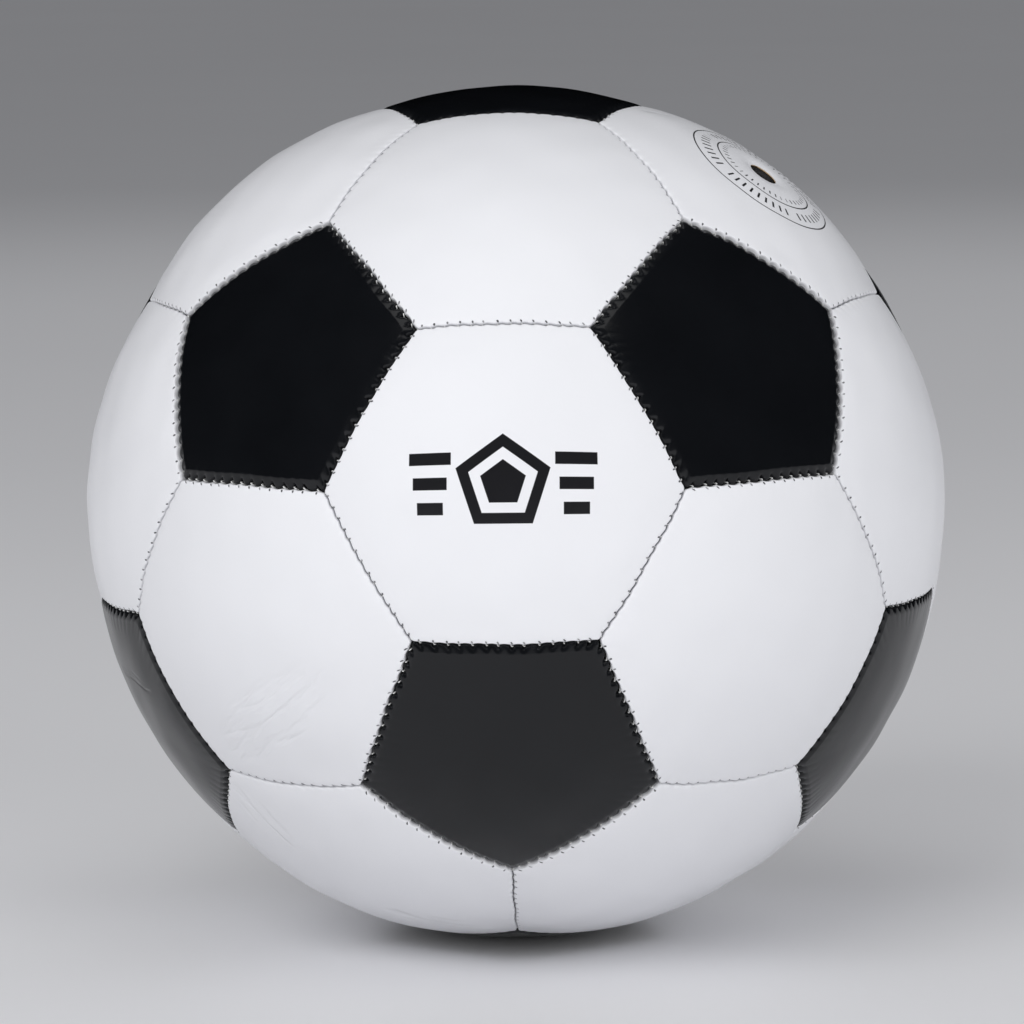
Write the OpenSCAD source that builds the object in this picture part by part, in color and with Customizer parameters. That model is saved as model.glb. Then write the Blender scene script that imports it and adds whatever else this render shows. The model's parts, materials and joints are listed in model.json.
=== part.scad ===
// A stitched soccer ball: cushioned panels over an inflated bladder.
// Twelve panels are black pentagons and twenty are white hexagons.
// The origin is the middle of the ball and +Z leaves through the top pentagon.
// A panel is drawn lying across the +Z axis and then turned to its place, with
// its own +X pointing down the ball, away from the top pentagon.

/* [Ball] */
// Diameter over the crowns of the hexagons
ball_d = 220; // [180:1:264]
// How much lower the crowns of the pentagons lie
pentagon_drop = 1.5; // [1:0.1:2]
// How much lower the outer surface lies at the middle of a seam
edge_drop = 1.7; // [1.2:0.1:2.4]

/* [Panel layers] */
// Thickness of the outer cover
cover_t = 1; // [0.7:0.1:1.3]
// Thickness of the foam under the cover
foam_t = 2.2; // [1:0.1:4]
// Thickness of the cloth lining under the foam
lining_t = 1; // [0.5:0.1:2]
// Gap between one layer and the next
layer_gap = 0.1; // [0.05:0.05:0.3]

/* [Seams] */
// Gap between the turned-in hems of neighbouring panels
seam_gap = 0.3; // [0.2:0.05:0.6]
// How much is trimmed off each corner of a panel
corner_cut = 1.2; // [0.8:0.1:2]
// Depth of the groove over a seam
groove_depth = 1.8; // [1.4:0.1:2.2]
// Width of the groove at the seam's outer surface
groove_w = 3.2; // [2.4:0.1:4]
// Diameter of the sewing thread
thread_d = 0.8; // [0.5:0.1:1]
// Gap between the thread and the sides of the groove
thread_gap = 0.05; // [0.02:0.01:0.1]

/* [Bladder] */
// Thickness of the bladder's wall
bladder_t = 0.8; // [0.5:0.1:1.5]
// Gap between the bladder and the hems
bladder_gap = 0.2; // [0.1:0.1:0.6]
// Gap between the bladder's inner side and what is bonded to it
bond_gap = 0.05; // [0.02:0.01:0.1]
// Diameter of the balance patch opposite the valve
patch_d = 28; // [18:1:40]
// Thickness of the balance patch
patch_t = 1; // [0.6:0.1:2]

/* [Valve] */
// Diameter of the valve's neck
neck_d = 6.8; // [6.4:0.1:8.2]
// Gap all round the neck in the holes that it passes through
neck_gap = 0.4; // [0.2:0.1:0.8]
// How far the valve's mouth lies below the crown of its panel
mouth_depth = 0.9; // [0.5:0.1:2]
// Diameter of the stiffening ring under the lining
backing_d = 26; // [18:1:32]
// Thickness of the stiffening ring
backing_t = 0.7; // [0.4:0.1:1]
// Diameter of the flange inside the bladder
flange_d = 24; // [18:1:32]
// Thickness of the flange
flange_t = 1.2; // [0.8:0.1:2]
// Diameter of the stem inside the bladder
stem_d = 11; // [9:0.5:14]
// Length of the stem, measured from the bladder's inner side
stem_length = 14; // [10:1:20]
// Diameter of the core's head
head_d = 5; // [4.6:0.1:5.4]
// Length of the core's head
head_length = 1.4; // [1:0.1:2.5]
// Diameter of the core's shank
shank_d = 4; // [3.6:0.1:4.2]
// Diameter of the bulb that keeps the core in its housing
bulb_d = 6.4; // [5.4:0.1:7.6]
// Length of the bulb
bulb_length = 3; // [2:0.5:5]
// Gap between the core and its housing
core_gap = 0.05; // [0.02:0.01:0.1]
// Diameter of the guide hole for the inflation needle
needle_hole_d = 2.5; // [2:0.1:2.8]
// Depth of the guide hole
needle_hole_depth = 6; // [4:0.5:9]
// Width of the slit that the needle parts
slit_w = 3; // [2:0.2:3.4]
// Thickness of the slit
slit_t = 0.2; // [0.1:0.1:0.4]

/* [Hidden] */
$fn = 128;
small_fn = 48;
over = 1;
black = "#191b1e";
white = "#e7e8ee";
front = -90;

// Angles of a ball cut into regular pentagons and hexagons. An "in" angle runs
// from the middle of a panel to the middle of its side.
pentagon_row = atan(2);
hexagon_row = atan(3 - sqrt(5));
hexagon_in = acos(sqrt(5) / 3) / 2;
pentagon_in = hexagon_row - hexagon_in;

// Each ring of panels: name, sides, how many, angle from +Z, azimuth of the
// first, direction of one corner, and the sides that meet a hexagon and are
// sewn from this ring.
RINGS = [
    ["pentagon_top", 5, 1, 0, front, 36, []],
    ["hexagon_top", 6, 5, hexagon_row, front, 30, [0, 120]],
    ["pentagon_upper", 5, 5, pentagon_row, front + 36, 180, []],
    ["hexagon_upper", 6, 5, hexagon_row + 2 * hexagon_in, front, 30, [60, 300]],
    ["hexagon_lower", 6, 5, 180 - hexagon_row - 2 * hexagon_in, front + 36, 30, [0]],
    ["pentagon_lower", 5, 5, 180 - pentagon_row, front, 0, []],
    ["hexagon_bottom", 6, 5, 180 - hexagon_row, front + 36, 30, [60]],
    ["pentagon_bottom", 5, 1, 180, front, 180, []],
];

// A panel is its ring and its number in the ring, counted anticlockwise as seen
// from above, starting at the front.
PANELS = [for (ring = RINGS) for (i = [1:ring[2]]) [ring, i]];
valve_panel = [RINGS[1], 2];

function panel_name(p) = p[0][2] == 1 ? p[0][0] : str(p[0][0], "_", p[1]);
function sides(p) = p[0][1];
function tilt(p) = p[0][3];
function azimuth(p) = p[0][4] + 72 * (p[1] - 1);
function corner(p) = p[0][5];
function sewn_sides(p) = p[0][6];
function has_valve(p) = p == valve_panel;
function in_angle(n) = n == 5 ? pentagon_in : hexagon_in;
function corner_angle(n) = atan(tan(in_angle(n)) / cos(180 / n));

// Panels are domed: the outer face is part of a sphere that is smaller than the
// ball and centred between the ball's middle and the panel.
ball_r = ball_d / 2;
edge_r = ball_r - edge_drop;
function crown_r(n) = n == 5 ? ball_r - pentagon_drop : ball_r;
function dome_shift(n) =
    (crown_r(n) ^ 2 - edge_r ^ 2) / (2 * (crown_r(n) - edge_r * cos(in_angle(n))));
function dome_r(n) = crown_r(n) - dome_shift(n);
// Distance from the ball's middle to a dome, at an angle from the panel's axis
function reach(n, depth, angle) =
    let (s = dome_shift(n))
    s * cos(angle) + sqrt((dome_r(n) - depth) ^ 2 - (s * sin(angle)) ^ 2);

foam_depth = cover_t + layer_gap;
lining_depth = foam_depth + foam_t + layer_gap;
backing_depth = lining_depth + lining_t + layer_gap;

// Hems reach in as far as the corners of the lining, and the bladder fills them
hem_r = reach(6, lining_depth + lining_t, corner_angle(6));
bladder_r = hem_r - bladder_gap;
bladder_in_r = bladder_r - bladder_t;
bonded_r = bladder_in_r - bond_gap;

// Threads lie in the grooves
groove_r = edge_r - groove_depth;
groove_slope = atan(groove_w / 2 / groove_depth);
thread_path_r = groove_r + (thread_d / 2 + thread_gap) / sin(groove_slope);
seam_angle = 2 * asin(sin(corner_angle(6)) * sin(30));
groove_angle = 1.5 * seam_angle;
thread_angle = seam_angle - 2 * asin(thread_d / thread_path_r);

// Heights on the valve's axis, from the middle of the ball
mouth_z = ball_r - mouth_depth;
stem_z = bladder_in_r - stem_length;

// Turns what is drawn across +Z to the place of panel p
module at_panel(p) {
    rotate([0, tilt(p), azimuth(p)]) children();
}

// Turns what is drawn round +Z into a ring over the side of a panel that lies in
// the given direction, starting at the middle of that side
module along_side(n, direction) {
    rotate([0, in_angle(n) - 90, direction]) children();
}

// A sphere with its poles on Y, away from every panel's face
module ball(r) {
    rotate([90, 0, 0]) sphere(r = r);
}

module dome(n, depth) {
    translate([0, 0, dome_shift(n)]) ball(dome_r(n) - depth);
}

// All that lies inside n planes through the middle of the ball, each at an angle
// from the axis and moved inwards by inset; direction is that of one corner
module pyramid(n, angle, inset, direction) {
    h = ball_r + over;
    translate([0, 0, inset / sin(angle)])
        rotate(direction)
            cylinder(h = h, r1 = 0, r2 = h * tan(angle) / cos(180 / n), $fn = n);
}

// All that lies between a panel's sides and its trimmed corners
module wedge(p, inset) {
    n = sides(p);
    trimmed = corner_angle(n) - asin(corner_cut / edge_r);
    intersection() {
        pyramid(n, in_angle(n), inset, corner(p));
        pyramid(n, trimmed, inset, corner(p) + 180 / n);
    }
}

// One layer of a panel: its depth, its thickness and its distance from the seams
module layer(p, depth, t, inset) {
    intersection() {
        wedge(p, inset);
        difference() {
            dome(sides(p), depth);
            dome(sides(p), depth + t);
        }
    }
}

// The groove along one side of a panel, run on past the corners
module groove(n, direction) {
    half_mouth = groove_w / 2 * (1 + over / groove_depth);
    along_side(n, direction)
        rotate(-groove_angle / 2)
            rotate_extrude(angle = groove_angle)
                polygon([
                    [groove_r, 0],
                    [edge_r + over, half_mouth],
                    [edge_r + over, -half_mouth],
                ]);
}

// The way through the layers for the valve's neck
module neck_hole() {
    cylinder(h = ball_r + over, d = neck_d + 2 * neck_gap, $fn = small_fn);
}

// A tray: the outer face with its hems turned in towards the bladder
module panel_cover(p) {
    n = sides(p);
    color(n == 5 ? black : white) at_panel(p) difference() {
        intersection() {
            wedge(p, seam_gap / 2);
            difference() {
                dome(n, 0);
                ball(hem_r);
            }
        }
        intersection() {
            wedge(p, seam_gap / 2 + cover_t);
            dome(n, cover_t);
        }
        for (i = [1:n]) groove(n, corner(p) + (i - 0.5) * 360 / n);
        if (has_valve(p)) neck_hole();
    }
}

// A cut piece in each panel with n sides
module pads(n, depth, t) {
    for (p = PANELS) if (sides(p) == n) at_panel(p) difference() {
        layer(p, depth, t, seam_gap / 2 + cover_t + layer_gap);
        if (has_valve(p)) neck_hole();
    }
}

module pentagon_foam() {
    color("khaki") pads(5, foam_depth, foam_t);
}

module hexagon_foam() {
    color("khaki") pads(6, foam_depth, foam_t);
}

module pentagon_lining() {
    color("tan") pads(5, lining_depth, lining_t);
}

module hexagon_lining() {
    color("tan") pads(6, lining_depth, lining_t);
}

// The sewing thread along one side of a panel
module thread(n, direction) {
    along_side(n, direction)
        rotate(-thread_angle / 2)
            rotate_extrude(angle = thread_angle)
                translate([thread_path_r, 0]) circle(d = thread_d, $fn = small_fn);
}

module pentagon_thread() {
    color("ivory") for (p = PANELS) if (sides(p) == 5) at_panel(p)
        for (i = [1:5]) thread(5, corner(p) + (i - 0.5) * 72);
}

module hexagon_thread() {
    color("ivory") for (p = PANELS) at_panel(p)
        for (direction = sewn_sides(p)) thread(6, direction);
}

module bladder() {
    color("dimgray") at_panel(valve_panel) difference() {
        ball(bladder_r);
        ball(bladder_in_r);
        neck_hole();
    }
}

module balance_patch() {
    color("slategray") at_panel(valve_panel) mirror([0, 0, 1]) intersection() {
        cylinder(h = ball_r, d = patch_d);
        difference() {
            ball(bonded_r);
            ball(bonded_r - patch_t);
        }
    }
}

module valve_backing() {
    color("saddlebrown") at_panel(valve_panel) difference() {
        intersection() {
            layer(valve_panel, backing_depth, backing_t, 0);
            cylinder(h = ball_r, d = backing_d);
        }
        neck_hole();
    }
}

// The core's outside, made larger all round by grow and longer at its open ends
module core_body(grow, extra) {
    translate([0, 0, mouth_z - head_length - grow])
        cylinder(h = head_length + grow + extra, d = head_d + 2 * grow, $fn = small_fn);
    translate([0, 0, stem_z])
        cylinder(h = mouth_z - stem_z, d = shank_d + 2 * grow, $fn = small_fn);
    translate([0, 0, stem_z - extra])
        cylinder(h = bulb_length + grow + extra, d = bulb_d + 2 * grow, $fn = small_fn);
}

module valve_housing() {
    color("black") at_panel(valve_panel) difference() {
        union() {
            translate([0, 0, stem_z])
                cylinder(h = mouth_z - stem_z, d = neck_d, $fn = small_fn);
            intersection() {
                translate([0, 0, stem_z]) cylinder(h = ball_r, d = stem_d, $fn = small_fn);
                ball(bonded_r);
            }
            intersection() {
                cylinder(h = ball_r, d = flange_d);
                difference() {
                    ball(bonded_r);
                    ball(bonded_r - flange_t);
                }
            }
        }
        core_body(core_gap, over);
    }
}

module valve_core() {
    color("gray") at_panel(valve_panel) difference() {
        core_body(0, 0);
        translate([0, 0, mouth_z - needle_hole_depth])
            cylinder(h = needle_hole_depth + over, d = needle_hole_d, $fn = small_fn);
        translate([-slit_w / 2, -slit_t / 2, stem_z - over])
            cube([slit_w, slit_t, mouth_z - needle_hole_depth - stem_z + 2 * over]);
    }
}

for (p = PANELS) panel_cover(p);
pentagon_foam();
hexagon_foam();
pentagon_lining();
hexagon_lining();
pentagon_thread();
hexagon_thread();
bladder();
balance_patch();
valve_backing();
valve_housing();
valve_core();
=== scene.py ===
"""A stitched soccer ball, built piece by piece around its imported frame.

Lengths are metres. The ball's middle is the origin and +Z leaves through the top
pentagon. A panel is worked out lying across +Z and is then turned to its place,
with its own +X pointing down the ball, away from the top pentagon.
"""

import json
import math
from collections import namedtuple

import bpy
import numpy as np
from bpy.props import FloatProperty, FloatVectorProperty, IntProperty, PointerProperty
from mathutils import Matrix, Vector


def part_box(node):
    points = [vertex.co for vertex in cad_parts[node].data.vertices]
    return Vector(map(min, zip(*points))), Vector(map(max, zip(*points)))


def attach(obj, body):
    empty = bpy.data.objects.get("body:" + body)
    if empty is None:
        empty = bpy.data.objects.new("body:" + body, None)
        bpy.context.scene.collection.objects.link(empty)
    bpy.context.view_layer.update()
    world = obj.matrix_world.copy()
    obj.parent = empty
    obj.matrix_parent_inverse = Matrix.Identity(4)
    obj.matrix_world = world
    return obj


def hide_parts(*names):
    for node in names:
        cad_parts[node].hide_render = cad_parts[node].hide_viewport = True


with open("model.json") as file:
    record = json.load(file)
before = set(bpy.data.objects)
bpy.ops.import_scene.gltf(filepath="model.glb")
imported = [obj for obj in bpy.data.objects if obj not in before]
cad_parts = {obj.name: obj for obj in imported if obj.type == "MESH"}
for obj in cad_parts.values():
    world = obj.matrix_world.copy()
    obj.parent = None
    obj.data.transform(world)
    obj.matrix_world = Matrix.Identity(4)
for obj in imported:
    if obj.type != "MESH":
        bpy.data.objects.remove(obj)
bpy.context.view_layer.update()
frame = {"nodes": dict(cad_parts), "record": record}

bl_info = {
    "name": "Stitched Soccer Ball",
    "version": (1, 0, 0),
    "blender": (4, 5, 0),
    "location": "3D View > Sidebar > Soccer Ball",
    "description": "Builds the panels, stitches, layers, bladder and valve of a soccer ball",
    "category": "Object",
}

MM = 0.001
TURN = 2 * math.pi


# What the frame says

def distances(node):
    """The distances of a CAD node's vertices from the ball's middle."""
    return [v.co.length for v in frame["nodes"][node].data.vertices]


def heights(node, axis):
    """How far a CAD node reaches along an axis through the ball's middle."""
    along = [v.co.dot(axis) for v in frame["nodes"][node].data.vertices]
    return min(along), max(along)


def width_round(node, axis):
    """The widest radius of a CAD node about an axis through the ball's middle."""
    return max((v.co - axis * v.co.dot(axis)).length for v in frame["nodes"][node].data.vertices)


HEXAGON_CROWN = max(distances("hexagon_top_1"))
PENTAGON_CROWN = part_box("pentagon_top")[1].z
HEM_RADIUS = min(distances("hexagon_top_1"))
BLADDER_IN = min(distances("bladder"))
NEEDLE_HOLE = next(m for m in frame["record"]["mounts"] if m["name"] == "needle_hole")
VALVE_AXIS = Vector(NEEDLE_HOLE["axis"])
VALVE_FOOT, VALVE_MOUTH = heights("valve_housing", VALVE_AXIS)
FLANGE_RADIUS = width_round("valve_housing", VALVE_AXIS)


# How a ball divides into regular pentagons and hexagons. An "in" angle runs from
# the middle of a panel to the middle of its side.
PENTAGON_TILT = math.atan(2)
HEXAGON_TILT = math.atan(3 - math.sqrt(5))
HEXAGON_IN = math.acos(math.sqrt(5) / 3) / 2
PENTAGON_IN = HEXAGON_TILT - HEXAGON_IN
IN_ANGLE = {5: PENTAGON_IN, 6: HEXAGON_IN}
FRONT = -90
HALF_SEAM = math.asin(math.sin(math.atan(math.tan(HEXAGON_IN) / math.cos(math.pi / 6))) / 2)

Ring = namedtuple("Ring", "name sides count tilt azimuth corner")
RINGS = [
    Ring("pentagon_top", 5, 1, 0, FRONT, 36),
    Ring("hexagon_top", 6, 5, HEXAGON_TILT, FRONT, 30),
    Ring("pentagon_upper", 5, 5, PENTAGON_TILT, FRONT + 36, 180),
    Ring("hexagon_upper", 6, 5, HEXAGON_TILT + 2 * HEXAGON_IN, FRONT, 30),
    Ring("hexagon_lower", 6, 5, math.pi - HEXAGON_TILT - 2 * HEXAGON_IN, FRONT + 36, 30),
    Ring("pentagon_lower", 5, 5, math.pi - PENTAGON_TILT, FRONT, 0),
    Ring("hexagon_bottom", 6, 5, math.pi - HEXAGON_TILT, FRONT + 36, 30),
    Ring("pentagon_bottom", 5, 1, math.pi, FRONT, 180),
]
Panel = namedtuple("Panel", "number name sides corner turn")


def every_panel():
    """The 32 panels, numbered anticlockwise in each ring, starting at the front."""
    found = []
    for ring in RINGS:
        for i in range(ring.count):
            name = ring.name if ring.count == 1 else f"{ring.name}_{i + 1}"
            azimuth = math.radians(ring.azimuth + 72 * i)
            turn = Matrix.Rotation(azimuth, 3, "Z") @ Matrix.Rotation(ring.tilt, 3, "Y")
            found.append(Panel(len(found), name, ring.sides, math.radians(ring.corner), np.array(turn)))
    return found


PANELS = every_panel()
EMBLEM_PANEL = "hexagon_upper_1"
VALVE_PANEL = "hexagon_top_2"


# Sizes and colours that a user may change

def length(name, text, metres, low=0.0, high=1.0):
    return FloatProperty(name=name, description=text, default=metres, min=low, max=high,
                         unit="LENGTH", subtype="DISTANCE", precision=5)


def small(name, text, millimetres):
    return length(name, text, millimetres * MM)


def share(name, text, value, high=1.0):
    return FloatProperty(name=name, description=text, default=value, min=0.0, max=high)


def paint(name, text, value):
    return FloatVectorProperty(name=name, description=text, default=value, size=3,
                               subtype="COLOR", min=0.0, max=1.0)


class PanelSizes(bpy.types.PropertyGroup):
    """How a panel is shaped."""
    cover: small("Cover", "Thickness of the outer cover", 1.0)
    foam: small("Foam", "Thickness of the foam pad", 2.2)
    lining: small("Lining", "Thickness of the cloth lining", 1.0)
    layer_gap: small("Layer gap", "Gap between one layer and the next", 0.1)
    hem_gap: small("Hem gap", "Half the gap between two neighbouring hems", 0.15)
    edge_drop: small("Edge drop", "How much lower than the crown the ball's surface is at a seam",
                     1.7)
    corner_drop: small("Corner drop", "How much lower the surface is where three seams meet", 0.45)
    white_fold: small("White fold", "Width of the strip where a white panel bends down", 2.5)
    white_depth: small("White fold depth", "How far a white panel bends down beside a white one",
                       0.8)
    mixed_depth: small("Mixed fold depth", "How far a white panel bends down beside a black one",
                       0.65)
    black_fold: small("Black fold", "Width of the strip where a black panel bends down", 2.5)
    black_depth: small("Black fold depth", "How far a black panel bends down", 1.4)
    white_corner: small("White corner", "Radius of a white panel's corners", 1.4)
    black_corner: small("Black corner", "Radius of a black panel's corners", 1.3)
    swell: small("Swell", "Height of the slight unevenness of the stuffed panels", 0.10)
    hole_radius: small("Valve hole", "Radius of the hole over the valve", 3.8)
    hole_sink: small("Valve hole sink", "How far the cover sinks at the valve hole", 0.55)
    pad_hole: small("Pad hole", "Radius of the holes in the pads over the valve", 5.5)


class SeamSizes(bpy.types.PropertyGroup):
    """How a seam is sewn."""
    stitches: IntProperty(name="Stitches", description="Stitches along one side", default=14,
                          min=6, max=24)
    black_dimple: small("Black dimple", "How far a stitch pulls a black fold down", 0.4)
    mixed_dimple: small("Mixed dimple", "How far a stitch pulls a white fold down next to black",
                        0.12)
    white_dimple: small("White dimple", "How far a stitch pulls down the fold between white panels",
                        0.2)
    dimple_width: small("Dimple width", "Half width of the pulled-down place", 0.5)
    black_opening: small("Black opening", "How far a stitch pulls a black fold from the seam", 0.3)
    white_opening: small("White opening", "How far a stitch pulls a white fold from the seam", 0.06)
    bead: small("Bead", "How much the black fold bulges between two stitches", 0.5)
    bead_width: small("Bead width", "How far a bead reaches in from the seam", 1.7)
    bead_narrow: share("Bead narrowness", "How narrow the valleys between two beads are", 1.5, 4.0)
    tooth: small("Tooth", "How far black beads reach over the middle of the seam", 0.55)
    black_reach: small("Black reach", "How much larger than its true share a black panel is", 0.85)
    wander: small("Wander", "How far a seam strays from its true line", 0.22)
    ripple: small("Ripple", "How far a white seam swings from stitch to stitch", 0.12)
    pucker: small("Pucker", "Depth of the wrinkles that run in from the stitches", 0.05)
    black_pucker: small("Black pucker", "Depth of the wrinkles in the black panels", 0.09)
    hole: small("Needle hole", "Half width of the hole that the needle left", 0.22)
    hole_length: small("Needle hole length", "Half length of the needle hole", 0.3)
    hole_place: small("Needle hole place", "Distance of the needle holes from the seam", 0.62)
    thread: small("Thread", "Radius of the sewing thread", 0.14)
    thread_depth: small("Thread depth", "How deep in the seam a stitch lies", 0.7)
    thread_reach: small("Thread reach", "How far a stitch reaches to each side", 0.28)


class ValveSizes(bpy.types.PropertyGroup):
    """How the valve is shaped."""
    neck: small("Neck", "Radius of the valve's neck", 3.4)
    stem: small("Stem", "Radius of the stem inside the bladder", 5.5)
    flange: small("Flange", "Thickness of the flange", 1.2)
    lip: small("Lip", "Radius of the rounded edges", 0.4)
    head: small("Core head", "Radius of the core's head", 2.5)
    head_length: small("Core head length", "Length of the core's head", 1.4)
    shank: small("Core shank", "Radius of the core's shank", 2.0)
    bulb: small("Core bulb", "Radius of the bulb at the core's inner end", 3.2)
    bulb_length: small("Core bulb length", "Length of the bulb", 3.0)
    gap: small("Core gap", "Gap between the core and its housing", 0.05)
    needle: small("Needle hole", "Radius of the guide hole for the needle", 1.25)
    needle_depth: small("Needle hole depth", "Depth of the guide hole", 6.0)
    slit: small("Slit", "Half width of the slit that the needle parts", 1.5)


class BallColours(bpy.types.PropertyGroup):
    """The colours of the ball's materials."""
    white: paint("White cover", "Colour of the hexagons", (0.80, 0.805, 0.835))
    black: paint("Black cover", "Colour of the pentagons", (0.0032, 0.0036, 0.0045))
    ink: paint("Ink", "Colour of what is printed", (0.010, 0.010, 0.012))
    cut: paint("Cut edge", "Colour of the cover where it is cut through", (0.55, 0.40, 0.25))
    thread: paint("Thread", "Colour of the sewing thread", (0.84, 0.84, 0.83))
    foam: paint("Foam", "Colour of the foam pads", (0.72, 0.66, 0.48))
    lining: paint("Lining", "Colour of the woven lining", (0.50, 0.44, 0.33))
    rubber: paint("Bladder", "Colour of the bladder", (0.022, 0.022, 0.024))
    patch: paint("Patch", "Colour of the balance patch", (0.09, 0.10, 0.11))
    backing: paint("Backing", "Colour of the stiffening ring", (0.32, 0.22, 0.13))
    valve: paint("Valve", "Colour of the valve's housing", (0.012, 0.012, 0.013))
    core: paint("Core", "Colour of the valve's core", (0.02, 0.02, 0.021))


class StudioSizes(bpy.types.PropertyGroup):
    """The camera, the floor and the lights."""
    azimuth: FloatProperty(name="Azimuth", description="Angle of the camera round the ball",
                           default=math.radians(1.64), subtype="ANGLE", unit="ROTATION")
    elevation: FloatProperty(name="Elevation", description="Angle of the camera above the horizon",
                             default=math.radians(7.25), subtype="ANGLE", unit="ROTATION")
    roll: FloatProperty(name="Roll", description="Tilt of the camera to one side",
                        default=math.radians(-0.72), subtype="ANGLE", unit="ROTATION")
    distance: length("Distance", "From the camera to the ball's middle", 1.3955, 0.2, 10)
    aside: small("Aside", "How far to the left of the ball's middle the camera aims", 1.15)
    lens: FloatProperty(name="Lens", description="Focal length on a 36 mm sensor", default=192.2,
                        unit="CAMERA")
    floor: paint("Floor", "Colour of the floor", (0.83, 0.83, 0.85))
    sky: share("Surroundings", "Brightness of the surroundings", 0.29, 10.0)


def shape():
    return bpy.context.scene.ball_panels


def seams():
    return bpy.context.scene.ball_seams


def colours():
    return bpy.context.scene.ball_colours


# Materials

def forward(operation):
    """A method that adds a Math node, with the signal as its first value."""
    def method(self, *others):
        return self.math(operation, self, *others)
    return method


def backward(operation):
    """A method that adds a Math node, with the signal as its second value."""
    def method(self, other):
        return self.math(operation, other, self)
    return method


class Signal:
    """A node's output, on which Python arithmetic adds Math nodes."""

    __add__ = forward("ADD")
    __radd__ = backward("ADD")
    __sub__ = forward("SUBTRACT")
    __rsub__ = backward("SUBTRACT")
    __mul__ = forward("MULTIPLY")
    __rmul__ = backward("MULTIPLY")
    __truediv__ = forward("DIVIDE")
    __rtruediv__ = backward("DIVIDE")
    __abs__ = forward("ABSOLUTE")
    __gt__ = forward("GREATER_THAN")
    __mod__ = forward("FLOORED_MODULO")
    __pow__ = forward("POWER")
    least = forward("MINIMUM")
    most = forward("MAXIMUM")
    sine = forward("SINE")
    root = forward("SQRT")
    angle_with = forward("ARCTAN2")

    def __init__(self, look, socket):
        self.look, self.socket = look, socket

    def math(self, operation, *values):
        inputs = dict(enumerate(values))
        return self.look.node("ShaderNodeMath", {"operation": operation}, inputs)

    def squeezed(self):
        """Kept between 0 and 1."""
        return self.most(0.0).least(1.0)


class Look:
    """A material, the one way its nodes are added, and its usual nodes."""

    def __init__(self, name, **constants):
        self.material = bpy.data.materials.new(name)
        self.material.use_nodes = True
        self.tree = self.material.node_tree
        self.shader = self.tree.nodes["Principled BSDF"]
        for socket, value in constants.items():
            self.shader.inputs[socket.replace("_", " ")].default_value = value

    def node(self, kind, settings=None, inputs=None, output=0):
        made = self.tree.nodes.new(kind)
        for name, value in (settings or {}).items():
            setattr(made, name, value)
        for key, value in (inputs or {}).items():
            if isinstance(value, Signal):
                self.tree.links.new(value.socket, made.inputs[key])
            else:
                made.inputs[key].default_value = value
        return Signal(self, made.outputs[output])

    def set(self, socket, value):
        """Links a value that varies to one of the shader's sockets."""
        self.tree.links.new(value.socket, self.shader.inputs[socket])

    def place(self):
        return self.node("ShaderNodeTexCoord", output="Object")

    def split(self, vector):
        """The three numbers of a vector."""
        made = self.node("ShaderNodeSeparateXYZ", {}, {0: vector}).socket.node
        return [Signal(self, made.outputs[i]) for i in range(3)]

    def map(self, name):
        """The two numbers of one of the mesh's UV maps."""
        return self.split(self.node("ShaderNodeUVMap", {"uv_map": name}))[:2]

    def noise(self, size, detail=2.0, roughness=0.5, vector=None):
        """Noise between 0 and 1 with features of a given size."""
        return self.node("ShaderNodeTexNoise", {}, {
            "Vector": vector or self.place(), "Scale": 1 / size, "Detail": detail,
            "Roughness": roughness})

    def cells(self, size, vector=None):
        """The distance to the nearest of many scattered points."""
        return self.node("ShaderNodeTexVoronoi", {}, {
            "Vector": vector or self.place(), "Scale": 1 / size})

    def mix(self, first, second, factor):
        """One colour over another."""
        return self.node("ShaderNodeMix", {"data_type": "RGBA"}, {
            0: factor, 6: rgba(first), 7: rgba(second)}, output=2)

    def bumps(self, *layers):
        """Bumps one over the other, each a height in metres."""
        normal = None
        for height in layers:
            inputs = {"Height": height, "Distance": 1.0, "Strength": 1.0}
            if normal:
                inputs["Normal"] = normal
            normal = self.node("ShaderNodeBump", {}, inputs)
        self.set("Normal", normal)


def rgba(colour):
    """A colour with its alpha, where it isn't a link."""
    return colour if isinstance(colour, Signal) else (*colour[:3], 1.0)


def shade(colour, factor):
    """A colour made lighter or darker."""
    return tuple(channel * factor for channel in colour)


def band(distance, half_width, soft):
    """1 within half_width of zero, falling to 0 over soft."""
    return ((half_width - abs(distance)) / soft + 0.5).squeezed()


# Meshes made of rings

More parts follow.
